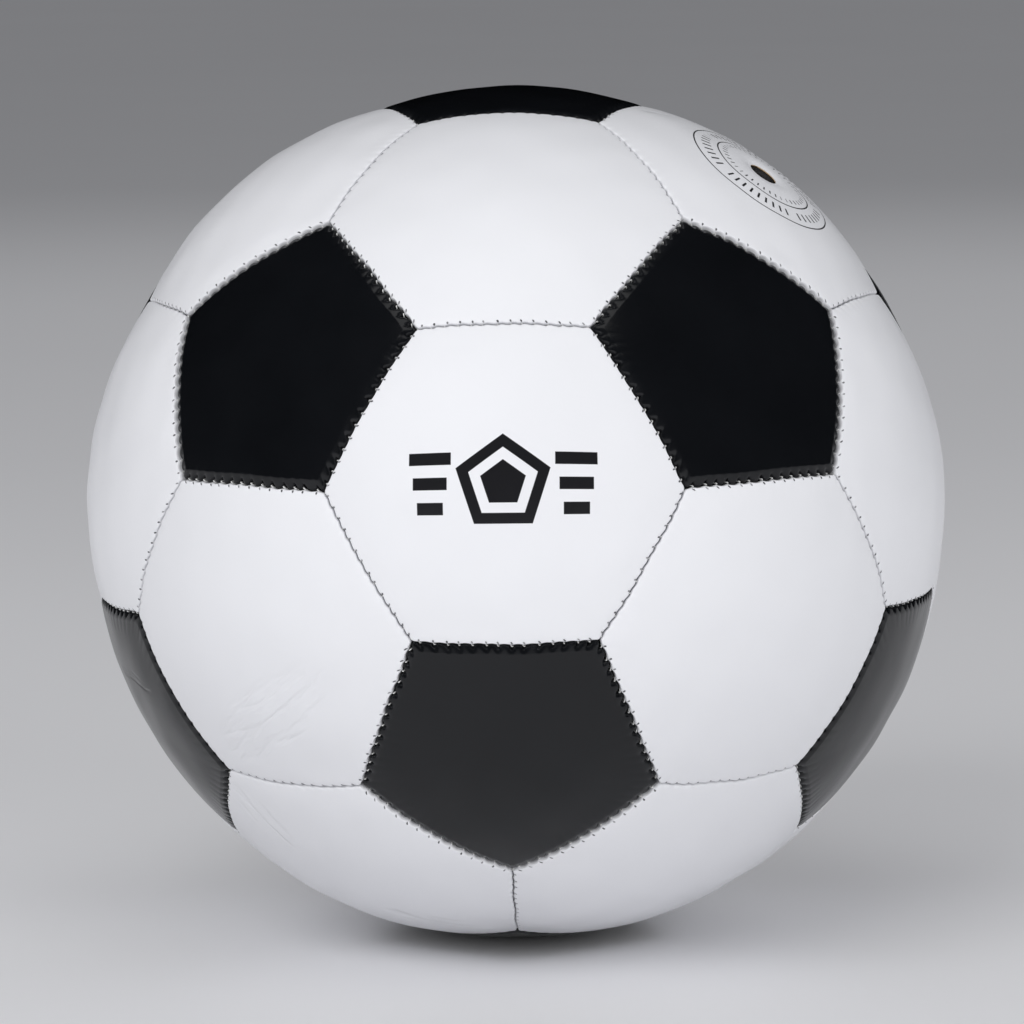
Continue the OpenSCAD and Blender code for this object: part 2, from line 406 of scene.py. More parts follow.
class Skin:
    """A mesh made of rings of points, with faces between neighbouring rings."""

    def __init__(self, *maps):
        self.points, self.count = [], 0
        self.maps = {name: [] for name in maps}
        self.map_count = 0
        self.faces = []

    def ring(self, points, **maps):
        """Adds a closed ring. A map has one row more than the ring has points."""
        made = (self.count, self.map_count, len(points))
        self.points.append(points)
        self.count += len(points)
        self.map_count += len(points) + 1
        for name, rows in self.maps.items():
            rows.append(maps.get(name, np.zeros((len(points) + 1, 2))))
        return made

    def _corners(self, ring, columns):
        start, map_start, size = ring
        return start + columns % size, map_start + columns

    def _add(self, corners, material):
        vertices = np.concatenate([c[0] for c in corners], axis=1)
        rows = np.concatenate([c[1] for c in corners], axis=1)
        self.faces.append((vertices, rows, material))

    def join(self, a, b, material=0):
        """Faces from ring a to ring b; one may have a multiple of the other's points."""
        steps = min(a[2], b[2])
        k = np.arange(steps)[:, None]
        on_a, on_b = a[2] // steps, b[2] // steps
        along_a = k * on_a + np.arange(on_a + 1)[None, :]
        along_b = (k + 1) * on_b - np.arange(on_b + 1)[None, :]
        self._add([self._corners(a, along_a), self._corners(b, along_b)], material)

    def cap(self, ring, flip=False, material=0):
        """One face that closes a ring."""
        columns = np.arange(ring[2])[None, :]
        if flip:
            columns = columns[:, ::-1]
        self._add([self._corners(ring, columns)], material)

    def build(self, name, looks, crease=40):
        mesh = bpy.data.meshes.new(name)
        points = np.concatenate(self.points)
        vertices = np.concatenate([f[0].ravel() for f in self.faces])
        rows = np.concatenate([f[1].ravel() for f in self.faces])
        sizes = np.concatenate([np.full(len(f[0]), f[0].shape[1]) for f in self.faces])
        material = np.concatenate([np.full(len(f[0]), f[2]) for f in self.faces])
        mesh.vertices.add(len(points))
        mesh.vertices.foreach_set("co", points.astype(np.float32).ravel())
        mesh.loops.add(len(vertices))
        mesh.loops.foreach_set("vertex_index", vertices.astype(np.int32))
        mesh.polygons.add(len(sizes))
        starts = np.concatenate([[0], np.cumsum(sizes)[:-1]])
        mesh.polygons.foreach_set("loop_start", starts.astype(np.int32))
        mesh.update(calc_edges=True)
        for map_name, values in self.maps.items():
            layer = mesh.uv_layers.new(name=map_name)
            layer.data.foreach_set("uv", np.concatenate(values)[rows].astype(np.float32).ravel())
        for look in looks:
            mesh.materials.append(look.material)
        mesh.polygons.foreach_set("material_index", material.astype(np.int32))
        mesh.validate()
        mesh.shade_smooth()
        mesh.set_sharp_from_angle(angle=math.radians(crease))
        piece = bpy.data.objects.new(name, mesh)
        bpy.context.scene.collection.objects.link(piece)
        return piece


def lathe(skin, profile, turn, columns=64, material=0, squash=None):
    """Turns a closed profile of (radius, height) about the axis. squash gives each point's
    narrowing across the axis, for a bore that ends in a slit."""
    angles = np.arange(columns) / columns * TURN
    rings = []
    for i, (radius, height) in enumerate(profile):
        narrow = squash[i] if squash else 1.0
        points = np.stack([radius * np.cos(angles), radius * narrow * np.sin(angles),
                           np.full(columns, height)], axis=1)
        rings.append(skin.ring(points @ turn.T))
    for a, b in zip(rings, rings[1:] + rings[:1]):
        skin.join(a, b, material)


def rounded(points, radius, steps=4):
    """A closed outline of (x, y) points with every corner rounded, each by up to radius."""
    made = []
    for before, corner, after in zip(points[-1:] + points[:-1], points, points[1:] + points[:1]):
        before, corner, after = Vector(before), Vector(corner), Vector(after)
        reach = min(radius, (before - corner).length * 0.45, (after - corner).length * 0.45)
        start = corner + (before - corner).normalized() * reach
        end = corner + (after - corner).normalized() * reach
        for i in range(steps + 1):
            t = i / steps
            made.append(tuple(start * (1 - t) ** 2 + corner * 2 * t * (1 - t) + end * t ** 2))
    return made


# The shape of a panel

def ease(value, low, high):
    """0 below low, 1 above high, smooth between them."""
    t = np.clip((value - low) / (high - low), 0, 1)
    return t * t * (3 - 2 * t)


def waves(directions, seed, count, low, high):
    """Smooth unevenness between about -1 and 1 over the whole ball."""
    draw = np.random.default_rng(seed)
    total = np.zeros(len(directions))
    for _ in range(count):
        way = draw.normal(size=3)
        way *= draw.uniform(low, high) / np.linalg.norm(way)
        total += np.sin(directions @ way + draw.uniform(0, TURN))
    return total / math.sqrt(count)


def neighbour(panel, side):
    """The panel on the other side of a side."""
    direction = panel.corner + (side + 0.5) * TURN / panel.sides
    tilt = IN_ANGLE[panel.sides]
    middle = panel.turn @ [math.sin(tilt) * math.cos(direction),
                           math.sin(tilt) * math.sin(direction), math.cos(tilt)]
    others = [p for p in PANELS if p.number != panel.number]
    return max(others, key=lambda p: p.turn[:, 2] @ middle)


class Seam:
    """One seam as seen from one of its two panels, along that panel's side."""

    def __init__(self, panel, side):
        other = neighbour(panel, side)
        self.mixed = panel.sides != other.sides
        self.first = panel.number < other.number
        low, high = sorted((panel.number, other.number))
        draw = np.random.default_rng(100 * low + high)
        count = seams().stitches
        self.place = (np.arange(count) + 0.5 + draw.uniform(-0.12, 0.12, count)) / count
        self.pull = draw.uniform(0.65, 1.2, count)
        self.reach = draw.uniform(1.2, 3.2, count) * MM
        self.slant = draw.uniform(0.15, 0.45, count)
        self.turns = draw.uniform(2.0, 6.0, 3)
        self.starts = draw.uniform(0, TURN, 3)
        if not self.first:
            self.place = 1 - self.place[::-1]
            self.pull, self.reach = self.pull[::-1], self.reach[::-1]
            self.slant = self.slant[::-1]

    def phase(self, s):
        """The number of stitches passed at a share s of the side; a stitch is at each half."""
        count = len(self.place)
        return np.interp(s, [0, *self.place, 1], [0, *(np.arange(count) + 0.5), count])

    def nearest(self, s):
        return np.clip(self.phase(s).astype(int), 0, len(self.place) - 1)

    def shift(self, s):
        """How far the seam lies outwards of this panel's true side."""
        own = s if self.first else 1 - s
        wander = sum(np.sin(own * t * math.pi + p) for t, p in zip(self.turns, self.starts)) / 3
        total = wander * seams().wander
        if not self.mixed:
            phase = self.phase(s)
            own_phase = phase if self.first else len(self.place) - phase
            total = total + seams().ripple * np.sin(TURN * own_phase)
        ends = ease(s, 0.0, 0.05) * ease(1 - s, 0.0, 0.05)
        return (total if self.first else -total) * ends

    def scallop(self, s, black):
        """How far the seam lies outwards because black beads bulge over it."""
        bulge = (np.abs(np.cos(math.pi * self.phase(s))) - 2 / math.pi) * seams().tooth
        ends = ease(s, 0.0, 0.05) * ease(1 - s, 0.0, 0.05)
        return self.mixed * (bulge if black else -bulge) * ends


class Course:
    """What changes from column to column all the way round a panel."""

    def __init__(self, panel, columns):
        self.panel, self.columns = panel, columns
        self.s = np.arange(columns) / columns
        sewn = [Seam(panel, side) for side in range(panel.sides)]
        everywhere = [(seam, self.s) for seam in sewn]

        def gather(function):
            return np.concatenate([function(seam, s) for seam, s in everywhere])

        self.all_s = np.tile(self.s, panel.sides)
        self.phase = gather(lambda seam, s: seam.phase(s))
        self.shift = gather(lambda seam, s: seam.shift(s))
        self.scallop = gather(lambda seam, s: seam.scallop(s, panel.sides == 5))
        self.mixed = gather(lambda seam, s: np.full(len(s), float(seam.mixed)))
        reach = seams().black_reach
        hexagon_corner = 2 * reach * math.tan(math.pi / 6)
        self.offset = reach * np.ones(len(self.mixed)) if panel.sides == 5 else -reach * self.mixed
        self.stretch = 0 * self.mixed if panel.sides == 5 else hexagon_corner * (2 * self.mixed - 1)
        self.pull = gather(lambda seam, s: seam.pull[seam.nearest(s)])
        self.reach = gather(lambda seam, s: seam.reach[seam.nearest(s)])
        self.holes = gather(lambda seam, s: (seam.mixed or seam.first) * seam.pull[seam.nearest(s)])
        side_length = 2 * HALF_SEAM * HEXAGON_CROWN
        self.beside = gather(lambda seam, s: (s - seam.place[seam.nearest(s)]) * side_length)
        stitch = seams().stitches
        self.ends = ease(self.all_s, 0.0, 0.04) * ease(1 - self.all_s, 0.0, 0.04)
        self.wave = 0.5 - 0.5 * np.cos(TURN * self.phase)
        side_number = np.repeat(np.arange(panel.sides), columns)
        self.map_u = np.append(self.phase + side_number * stitch, panel.sides * stitch)

    def thinned(self, step):
        """The same course with only every step-th column."""
        made = object.__new__(Course)
        made.panel, made.columns = self.panel, self.columns // step
        for name in ("all_s", "phase", "shift", "pull", "reach", "holes", "beside", "ends", "wave",
                     "mixed", "scallop", "offset", "stretch"):
            setattr(made, name, getattr(self, name)[::step])
        made.map_u = self.map_u[::step]
        return made


def outline(course, inradius, corner, stretch):
    """A polygon with rounded corners on the plane one away from the ball's middle. stretch
    says by how much each half side is longer than in a regular one."""
    n, panel = course.panel.sides, course.panel
    share_along = 2 * course.all_s - 1
    half = inradius * math.tan(math.pi / n) + stretch
    x = np.tan(share_along * HALF_SEAM) / math.tan(HALF_SEAM) * half
    straight = half - corner * math.tan(math.pi / n)
    over = np.clip((np.abs(x) - straight) / np.maximum(half - straight, 1e-9), 0, 1) * math.pi / n
    bent = np.abs(x) > straight
    along = np.where(bent, np.sign(x) * (straight + corner * np.sin(over)), x)
    out = np.where(bent, inradius - corner + corner * np.cos(over), inradius)
    side = np.repeat(np.arange(n), course.columns)
    direction = panel.corner + (side + 0.5) * TURN / n
    return np.stack([out * np.cos(direction) - along * np.sin(direction),
                     out * np.sin(direction) + along * np.cos(direction)], axis=1)


def fading(distance, millimetres):
    """1 at the seam, fading over a number of millimetres."""
    return math.exp(-(distance / (millimetres * MM)) ** 2)


class Dome:
    """The outer face of a panel."""

    def __init__(self, sides):
        size = shape()
        self.sides, self.in_angle = sides, IN_ANGLE[sides]
        self.crown = PENTAGON_CROWN if sides == 5 else HEXAGON_CROWN
        self.edge = HEXAGON_CROWN - size.edge_drop
        middle = math.cos(self.in_angle)
        self.shift = (self.crown ** 2 - self.edge ** 2) / (2 * (self.crown - self.edge * middle))
        self.radius = self.crown - self.shift

    def at(self, angle):
        """The distance from the ball's middle at an angle from the panel's axis."""
        return self.shift * np.cos(angle) + np.sqrt(
            self.radius ** 2 - (self.shift * np.sin(angle)) ** 2)

    def surface(self, plane, course, from_seam):
        """The outer face over points of the plane, evened out between neighbours."""
        angle = np.arctan(np.hypot(plane[:, 0], plane[:, 1]))
        along = (2 * course.all_s - 1) * HALF_SEAM
        at_seam = np.arctan(np.hypot(math.tan(self.in_angle),
                                     np.tan(along) / math.cos(self.in_angle)))
        common = self.edge - shape().corner_drop * (along / HALF_SEAM) ** 2
        lift = (common - self.at(at_seam)) * np.exp(-from_seam / (7 * MM))
        return self.at(angle) + lift


# A black fold starts as an even bevel and ends steeply. A white one is steep only at its end.
BLACK_BEVEL, BLACK_STEEP = 0.42, 10
WHITE_BEVEL, WHITE_STEEP = 0.10, 24


def fold_depth(course, distance):
    """How far the cover has bent down at a distance from the middle of the seam."""
    size = shape()
    black = course.panel.sides == 5
    width = size.black_fold if black else size.white_fold
    t = np.clip((width - distance) / (width - size.hem_gap), 0, 1)
    if black:
        return size.black_depth * (BLACK_BEVEL * t + (1 - BLACK_BEVEL) * t ** BLACK_STEEP)
    depth = course.mixed * size.mixed_depth + (1 - course.mixed) * size.white_depth
    return depth * (WHITE_BEVEL * t ** 2 + (1 - WHITE_BEVEL) * t ** WHITE_STEEP)


def sewn_depth(course, distance):
    """How far the stitches pull the face down."""
    size = seams()
    black = course.panel.sides == 5
    white_dimple = course.mixed * size.mixed_dimple + (1 - course.mixed) * size.white_dimple
    dimple = size.black_dimple if black else white_dimple
    pulled = np.exp(-(course.beside / size.dimple_width) ** 2) * course.pull * course.ends
    depth = dimple * pulled * fading(distance, 0.8)
    wrinkle = course.wave ** 2 * course.pull * course.ends
    pucker, reach = (size.black_pucker, 1.8) if black else (size.pucker, 1.0)
    depth = depth + pucker * wrinkle * np.exp(-distance / (reach * course.reach))
    if black:
        valley = (1 - np.abs(np.cos(math.pi * course.phase))) ** size.bead_narrow
        beaded = 1 - ease(distance, 0.45 * size.bead_width, size.bead_width)
        depth = depth + size.bead * valley * course.ends * beaded
    return depth


WHITE_SCALLOP = 0.35


class PanelShape:
    """Makes the rings of one panel, at any depth under its outer face."""

    def __init__(self, panel, columns):
        self.panel, self.dome = panel, Dome(panel.sides)
        self.full = Course(panel, columns)
        self.corner = shape().black_corner if panel.sides == 5 else shape().white_corner
        self.radius = self.dome.edge

    def points(self, course, distance, under=0.0, sewn=True, roundness=None, radius=None):
        """One ring at a distance from the seam and a depth under the outer face."""
        in_angle = IN_ANGLE[self.panel.sides]
        away = distance
        if sewn:
            pulled = np.exp(-(course.beside / seams().dimple_width) ** 2) * course.pull
            opening = seams().black_opening if self.panel.sides == 5 else seams().white_opening
            away = distance + opening * pulled * course.ends * fading(distance, 0.9)
        scallop_width = seams().bead_width / MM if self.panel.sides == 5 else WHITE_SCALLOP
        far = fading(distance, 12)
        shift = (course.shift * fading(distance, 5) + course.offset * far
                 + course.scallop * fading(distance, scallop_width))
        inradius = np.tan(in_angle - (away - shift) / self.radius)
        plain = math.tan(in_angle - distance / self.radius)
        if roundness is None:
            corner = max(self.corner - distance, 0.25 * MM) / self.radius
        else:
            corner = plain * roundness
        plane = outline(course, inradius, corner, course.stretch * far / self.radius)
        if radius is None:
            face = self.dome.surface(plane, course, distance)
            directions = self.directions(plane)
            face = face - fold_depth(course, distance)
            if self.panel.name == VALVE_PANEL:
                off_hole = np.hypot(plane[:, 0], plane[:, 1]) * HEXAGON_CROWN - shape().hole_radius
                face = face - shape().hole_sink * np.exp(-(off_hole / (1.5 * MM)) ** 2)
            if sewn:
                face = face - sewn_depth(course, distance)
            face = face + shape().swell * waves(directions, 11, 9, 18, 55) * ease(
                distance, 0, 6 * MM)
            face = face - under
        else:
            directions, face = self.directions(plane), np.full(len(plane), radius)
        return directions * face[:, None], plane

    def directions(self, plane):
        made = np.column_stack([plane, np.ones(len(plane))])
        made /= np.linalg.norm(made, axis=1)[:, None]
        return made @ self.panel.turn.T

    def ring(self, skin, course, distance, **kind):
        points, plane = self.points(course, distance, **kind)
        closed = np.vstack([plane, plane[:1]]) * HEXAGON_CROWN
        seam = np.column_stack([course.map_u, np.full(len(course.map_u), distance / MM)])
        holes = np.append(course.holes, course.holes[:1])
        holes = np.column_stack([holes, holes])
        return skin.ring(points, seam=seam, face=closed, holes=holes)


FOLD_STEPS = [0.0, 0.03, 0.07, 0.12, 0.19, 0.28, 0.40, 0.55, 0.75, 1.0, 1.3, 1.65, 2.0, 2.35]
FINE_STEPS = [2.7, 3.1, 3.6, 4.2, 4.9, 5.7]
COLUMNS = 112


def inner_rings(panel_shape, skin, start, courses, radius_end=None, under=0.0, sewn=True):
    """Rings from a distance in to the middle, turning from a polygon into a circle."""
    in_radius = math.tan(IN_ANGLE[panel_shape.panel.sides])
    first = math.tan(IN_ANGLE[panel_shape.panel.sides] - start / panel_shape.radius)
    made = []
    for course, shares in courses:
        for f in shares:
            inradius = first * f
            if radius_end is not None:
                end = radius_end / panel_shape.radius
                inradius = end + (first - end) * f
            distance = (math.atan(in_radius) - math.atan(inradius)) * panel_shape.radius
            roundness = min(1.0, 0.02 + float(ease(1 - f, 0.0, 0.55)))
            made.append(panel_shape.ring(skin, course, distance, roundness=roundness,
                                         under=under, sewn=sewn))
    return made


HEM_TOP, HEM_SEWN = 2.2 * MM, 1.6 * MM


def cover_piece(panel, looks):
    """One cover: its outer face, the fold, the hem turned in, and the underside."""
    size = shape()
    made = PanelShape(panel, COLUMNS)
    fine, middle, coarse = made.full, made.full.thinned(4), made.full.thinned(16)
    skin = Skin("seam", "face", "holes")
    has_hole = panel.name == VALVE_PANEL
    end = size.hole_radius if has_hole else None
    gap, t = size.hem_gap, size.cover
    rings = []
    under_start = gap + t + size.white_fold
    shares = [0.0 if has_hole else 0.04, 0.25, 0.5, 0.75, 1.0]
    rings += inner_rings(made, skin, under_start, [(coarse, shares)], end, under=t, sewn=False)
    inner_bend = 0.6 * MM
    rings.append(made.ring(skin, coarse, gap + t + inner_bend, under=t, sewn=False))
    rings.append(made.ring(skin, coarse, gap + t, radius=HEM_RADIUS + HEM_TOP, sewn=False))
    rings.append(made.ring(skin, coarse, gap + t, radius=HEM_RADIUS, sewn=False))
    rings.append(made.ring(skin, coarse, gap, radius=HEM_RADIUS, sewn=False))
    fold_foot = made.dome.edge - (size.black_depth if panel.sides == 5 else size.white_depth)
    rings.append(made.ring(skin, fine, gap, radius=fold_foot - HEM_SEWN, sewn=True))
    for step in FOLD_STEPS + FINE_STEPS:
        rings.append(made.ring(skin, fine, gap + step * MM if step < 2.4 else step * MM))
    inwards = inner_rings(made, skin, 6.4 * MM, [
        (middle, [1.0, 0.95, 0.9, 0.84, 0.78, 0.71, 0.64, 0.56, 0.48]),
        (coarse, [0.39, 0.3, 0.21, 0.13, 0.07, 0.03] + ([0.012, 0.0] if has_hole else []))], end)
    rings += inwards
    for a, b in zip(rings, rings[1:]):
        skin.join(a, b)
    if has_hole:
        skin.join(rings[-1], rings[0], material=1)
    else:
        skin.cap(rings[0], flip=True)
        skin.cap(rings[-1])
    return skin.build("cover_" + panel.name, looks)


def place_on_ball(piece, slot, *nodes):
    """Hides the CAD parts that a piece stands for and hangs the piece under the root body. slot, what
    the piece is made of, is not used.
    """
    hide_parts(*nodes)
    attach(piece, "root")
    return piece


# Finishes

def grain(look, size, height):
    """A fine pebbled grain."""
    return (look.noise(size, 3.0, 0.6) - 0.5) * height


Creasing = namedtuple("Creasing", "x y turn long wide depth")
CREASES = {
    "hexagon_lower_5": [Creasing(20, 2, 126, 26, 10, 0.16)],
    "hexagon_bottom_5": [Creasing(-27, -17, 36, 13, 6, 0.15), Creasing(18, 11, 48, 12, 5, 0.30)],
    "hexagon_top_2": [Creasing(-29, 6, 49, 12, 4, 0.20)],
    "pentagon_lower_5": [Creasing(-13, 6, 82, 12, 3, 0.20)],
    "hexagon_upper_5": [Creasing(22, -18, 140, 12, 6, 0.08)],
    "hexagon_lower_3": [Creasing(-14, 12, 60, 16, 7, 0.14)],
}


CREASE_STRETCH, CREASE_SPACING, CREASE_SHARP = 0.22, 0.007, 12


def creased(look, panel_name):
    """Fine creases in patches of a panel: x, y, half length and half width are millimetres."""
    x, y = look.map("face")
    total = None
    for patch in CREASES.get(panel_name, []):
        turn = math.radians(patch.turn)
        off_x, off_y = x - patch.x * MM, y - patch.y * MM
        along = off_x * math.cos(turn) + off_y * math.sin(turn)
        across = off_y * math.cos(turn) - off_x * math.sin(turn)
        inside = 1 - (along / (patch.long * MM)) ** 2.0 - (across / (patch.wide * MM)) ** 2.0
        stretched = look.node("ShaderNodeCombineXYZ", {}, {0: along * CREASE_STRETCH, 1: across})
        ridge = abs(look.noise(CREASE_SPACING, 3.0, 0.5, stretched) - 0.5)
        fade = (inside * 2.5).squeezed()
        line = (1 - ridge * CREASE_SHARP).squeezed() * fade * (-patch.depth * MM)
        total = line if total is None else total + line
    return [] if total is None else [total]


def emblem(look):
    """A plain printed badge: a pentagon in a frame between three bars on each side."""
    x, y = look.map("face")
    across, up = y, 0 - x
    corners = [math.radians(90 + 72 * i) for i in range(5)]
    reach = None
    for corner in corners:
        middle = corner + math.pi / 5
        side = across * math.cos(middle) + up * math.sin(middle)
        reach = side if reach is None else reach.most(side)
    soft = 0.12 * MM
    frame_line = band(reach - 8.3 * MM, 1.3 * MM, soft)
    inside = band(reach, 4.6 * MM, soft)
    bars = None
    for i, half in enumerate((10.5, 8.5, 6.5)):
        centre = (6.0 - 6.0 * i) * MM
        bar = band(up - centre, 1.5 * MM, soft) * band(abs(across) - (12.4 + half / 2 + i) * MM,
                                                       half / 2 * MM, soft)
        bars = bar if bars is None else bars.most(bar)
    return frame_line.most(inside).most(bars)


def valve_rings(look):
    """Two printed circles round the valve with short ticks between them."""
    x, y = look.map("face")
    radius = (x * x + y * y).root()
    angle = y.angle_with(x)
    line, soft = 0.2 * MM, 0.1 * MM
    outer, inner, breaks = 20.4 * MM, 13.7 * MM, 5
    total = band(radius - outer, line, soft).most(band(radius - inner, line, soft))
    gap = abs((angle * (breaks / TURN)) % 1.0 - 0.5)
    for middle, half_height, half_width, ticks in ((17.1, 1.25, 0.3, 48), (11.6, 0.7, 0.2, 40)):
        beside = abs((angle * (ticks / TURN)) % 1.0 - 0.5) * (middle * MM * TURN / ticks)
        tick = band(beside, half_width * MM, soft)
        tick = tick * band(radius - middle * MM, half_height * MM, soft)
        total = total.most(tick * (gap > 0.06))
    return total


STITCH_PITCH, HOLE_SLANT = 3.15, 0.45


def white_cover(name, ink=None, panel_name=None):
    """Glossy white coated leather, with painted shade in the seam grooves and in the needle holes."""
    colour = colours()
    look = Look(name, IOR=1.47)
    phase, from_seam = look.map("seam")
    sewn = seams()
    off_row = from_seam - sewn.hole_place / MM
    beside = (phase % 1.0 - 0.5) * STITCH_PITCH + off_row * HOLE_SLANT
    across, along = beside / (sewn.hole / MM), off_row / (sewn.hole_length / MM)
    hole_dent_and_shade = band((across * across + along * along).root(), 1.0, 0.5)
    hole_dent_and_shade = (hole_dent_and_shade * look.map("holes")[0]).squeezed()
    # Painted shade: the white is greyed within half a millimetre of the seam, where shade falls in the
    # groove; the same band also roughens it.
    seam_shade_band = (1 - from_seam / 0.5).squeezed()
    cloud = look.noise(0.035, 3.0)
    base = look.mix(colour.white, shade(colour.white, 0.965), cloud)
    base = look.mix(base, shade(colour.white, 0.62), seam_shade_band * seam_shade_band * 0.7)
    # Painted shade: the needle holes are coloured near black, where shade falls in them; the same mask
    # also dents the surface a little.
    base = look.mix(base, (0.02, 0.02, 0.025), hole_dent_and_shade * 0.92)
    if ink:
        base = look.mix(base, colour.ink, ink(look))
    look.set("Base Color", base)
    look.set("Roughness", 0.30 + look.noise(0.012, 3.0) * 0.10 + seam_shade_band * 0.2)
    look.bumps(grain(look, 0.0007, 0.010 * MM), grain(look, 0.009, 0.05 * MM),
               hole_dent_and_shade * (-0.12 * MM), *creased(look, panel_name))
    return look


def black_cover(name, panel_name=None):
    """Glossy black coated leather with a fine grain."""
    colour = colours()
    look = Look(name, IOR=1.42)
    from_seam = look.map("seam")[1]
    wear = (1 - from_seam / 3.0).squeezed()
    scuff = (look.noise(0.004, 5.0, 0.7) - 0.45).squeezed()
    base = look.mix(colour.black, shade(colour.black, 1.8), look.noise(0.02, 3.0))
    base = look.mix(base, (0.05, 0.05, 0.055), scuff * wear)
    look.set("Base Color", base)
    look.set("Roughness", 0.17 + look.noise(0.01, 3.0) * 0.08 + wear * 0.06)
    look.bumps(grain(look, 0.0006, 0.006 * MM), grain(look, 0.010, 0.05 * MM),
               *creased(look, panel_name))
    return look


def cut_edge():
    """The layers that show where the cover is cut through, with painted shade darkening the wall deeper
    in the valve hole.
    """
    look = Look("cut_edge", Roughness=0.85)
    fibres = look.noise(0.0006, 4.0, 0.7)
    x, y, z = look.split(look.place())
    sunk = HEXAGON_CROWN - shape().hole_sink - (x * x + y * y + z * z).root()
    # Painted shade: the mask named cloth here turns the cut wall below the rim into a near-black shaded
    # copy of its tan, where shade falls inside the valve hole.
    cloth = ((sunk - fibres * (0.3 * MM)) / (0.1 * MM)).squeezed()
    look.set("Base Color", look.mix(colours().cut, shade(colours().cut, 0.04), cloth))
    look.bumps(fibres * (0.08 * MM))
    return look


def thread_look():
    """Waxed polyester thread, twisted from three strands."""
    colour = colours().thread
    look = Look("sewing_thread", Sheen_Weight=0.15)
    along, around = look.map("yarn")
    twist_and_shade = (along * 9.0 + around * TURN).sine() * 0.5 + 0.5
    # Painted shade: the thread is darker in the grooves between its twisted strands, where the bump is
    # low.
    look.set("Base Color", look.mix(shade(colour, 0.72), colour, twist_and_shade))
    look.set("Roughness", 0.75 - twist_and_shade * 0.2)
    look.bumps(twist_and_shade * (0.05 * MM))
    return look


def foam_look():
    """Closed-cell foam."""
    colour = colours().foam
    look = Look("foam", Roughness=0.9)
    cells = look.cells(0.0009)
    # Painted shade: the foam is darker in the middle of each cell, in the pits of the bump, where shade
    # falls.
    base = look.mix(shade(colour, 0.75), colour, cells)
    look.set("Base Color", look.mix(base, shade(colour, 0.9), look.noise(0.02)))
    look.bumps(cells * (0.12 * MM))
    return look


def weave_look(name, colour, pitch, mapped=True):
    """Plain woven cloth in a layer of latex."""
    look = Look(name, Roughness=0.88)
    x, y = look.map("face") if mapped else look.split(look.place())[:2]
    warp = (x * (TURN / pitch)).sine()
    weft = (y * (TURN / pitch)).sine()
    cloth = (warp * weft) * 0.5 + 0.5
    fuzz = look.noise(0.0008, 4.0)
    # Partly painted shade and partly random tone: the cloth is darker where the weave is low, and the
    # fuzz varies its tone at random.
    look.set("Base Color", look.mix(shade(colour, 0.62), colour, cloth * 0.7 + fuzz * 0.3))
    look.bumps(cloth * (0.12 * MM) + fuzz * (0.05 * MM))
    return look


def rubber_look(name, colour, rough=0.5, bloom=0.25):
    """Moulded rubber with a slight grey bloom."""
    look = Look(name)
    cloud = look.noise(0.015, 4.0, 0.6)
    base = look.mix(colour, tuple(c + 0.05 for c in colour), cloud * bloom)
    look.set("Base Color", base)
    look.set("Roughness", rough + cloud * 0.2)
    look.bumps(grain(look, 0.0005, 0.012 * MM), grain(look, 0.006, 0.05 * MM))
    return look


# Operators

class BuildWhiteCovers(bpy.types.Operator):
    """Builds the twenty white hexagons"""
    bl_idname = "ball.white_covers"
    bl_label = "White Covers"

    def execute(self, context):
        inks = {EMBLEM_PANEL: emblem, VALVE_PANEL: valve_rings}
        plain = white_cover("white_cover")
        for panel in PANELS:
            if panel.sides == 6:
                look = plain
                if panel.name in inks or panel.name in CREASES:
                    look = white_cover("white_" + panel.name, inks.get(panel.name), panel.name)
                looks = [look, cut_edge()] if panel.name == VALVE_PANEL else [look]
                place_on_ball(cover_piece(panel, looks), "white_cover", panel.name)
        return {"FINISHED"}


class BuildBlackCovers(bpy.types.Operator):
    """Builds the twelve black pentagons"""
    bl_idname = "ball.black_covers"
    bl_label = "Black Covers"

    def execute(self, context):
        plain = black_cover("black_cover")
        for panel in PANELS:
            if panel.sides == 5:
                look = plain
                if panel.name in CREASES:
                    look = black_cover("black_" + panel.name, panel.name)
                place_on_ball(cover_piece(panel, [look]), "black_cover", panel.name)
        return {"FINISHED"}


STRAND_DIVE = 1.3 * MM


